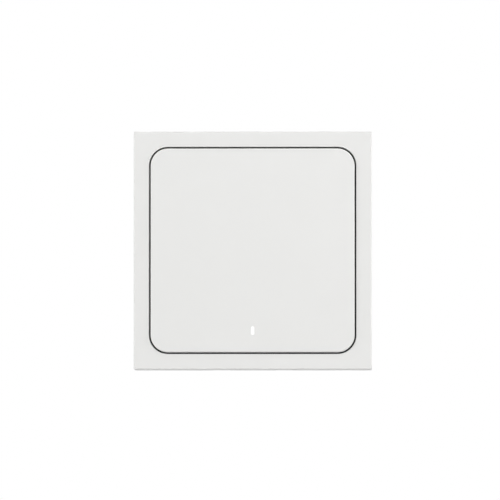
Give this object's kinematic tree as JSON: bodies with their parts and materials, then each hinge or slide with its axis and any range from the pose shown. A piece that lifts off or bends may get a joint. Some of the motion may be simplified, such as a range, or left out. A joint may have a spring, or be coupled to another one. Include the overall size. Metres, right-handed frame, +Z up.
{
  "type": "smart button",
  "caption": "Square wall button: a large sprung key with a light slot, set in a flat square frame over a battery-powered radio module on a screw-on wall plate.",
  "frame": {"origin": "centre of the wall plate's back face, which lies on the wall", "axes": "+Z up, +X to the right of someone facing the button, -Y out of the wall towards that person"},
  "size_m": [0.084, 0.014, 0.084],
  "materials": {
    "white_plastic": "fine satin moulded texture",
    "black_plastic": "matt moulded",
    "grey_plastic": "matt moulded",
    "clear_guide": "polished, lets light through",
    "steel": "bright drawn",
    "spring_steel": "drawn wire",
    "nickel": "plated sheet",
    "cell_can": "satin plated",
    "pad_rubber": "matt",
    "dome_rubber": "matt silicone",
    "board": "solder mask",
    "radio_board": "solder mask",
    "chip_ceramic": "fired",
    "crystal_can": "plated can",
    "lamp": "cast resin"
  },
  "bodies": {
    "wall_unit": {"frame": "white_plastic", "chassis": "black_plastic", "rear_housing": "black_plastic", "wall_plate": "grey_plastic", "hinge_pin_left": "steel", "hinge_pin_right": "steel", "return_spring_left": "spring_steel", "return_spring_right": "spring_steel", "stop_pads": "pad_rubber", "housing_screws": "steel", "pcb": "board", "switch_base": "black_plastic", "switch_terminals": "nickel", "switch_dome": "dome_rubber", "switch_cover": "nickel", "indicator_led": "lamp", "led_shroud": "black_plastic", "radio_board": "radio_board", "radio_shield": "nickel", "crystal": "crystal_can", "capacitors": "chip_ceramic", "pair_switch_base": "black_plastic", "pair_dome": "spring_steel", "pair_switch_cover": "nickel", "battery_holder": "black_plastic", "contact_positive": "nickel", "contact_negative": "nickel", "coin_cell": "cell_can"},
    "key": {"key": "white_plastic", "key_carrier": "black_plastic", "light_guide": "clear_guide"},
    "switch_plunger": {"switch_plunger": "grey_plastic"},
    "pair_plunger": {"pair_plunger": "grey_plastic"}
  },
  "joints": [
    {"name": "key_hinge", "type": "hinge", "parent": "wall_unit", "child": "key", "pos_m": [0, -0.0072, 0.031], "axis": [1, 0, 0], "range_deg": [0, 1.03], "stiffness_Nm_per_rad": 2.6, "springref_deg": -2.29, "deforming": ["return_spring_left", "return_spring_right", "switch_dome"]},
    {"name": "switch_plunger_slide", "type": "slide", "parent": "wall_unit", "child": "switch_plunger", "axis": [0, 1, 0], "range_m": [0, 0.0006449], "deforming": ["switch_dome"]},
    {"name": "pair_plunger_slide", "type": "slide", "parent": "wall_unit", "child": "pair_plunger", "axis": [0, -1, 0], "range_m": [0, 0.00025], "stiffness_N_per_m": 3000, "springref_m": -0.0002, "deforming": ["pair_dome"]}
  ],
  "couplings": [
    {"joint": "switch_plunger_slide", "follows": "key_hinge", "m_per_rad": 0.036}
  ]
}
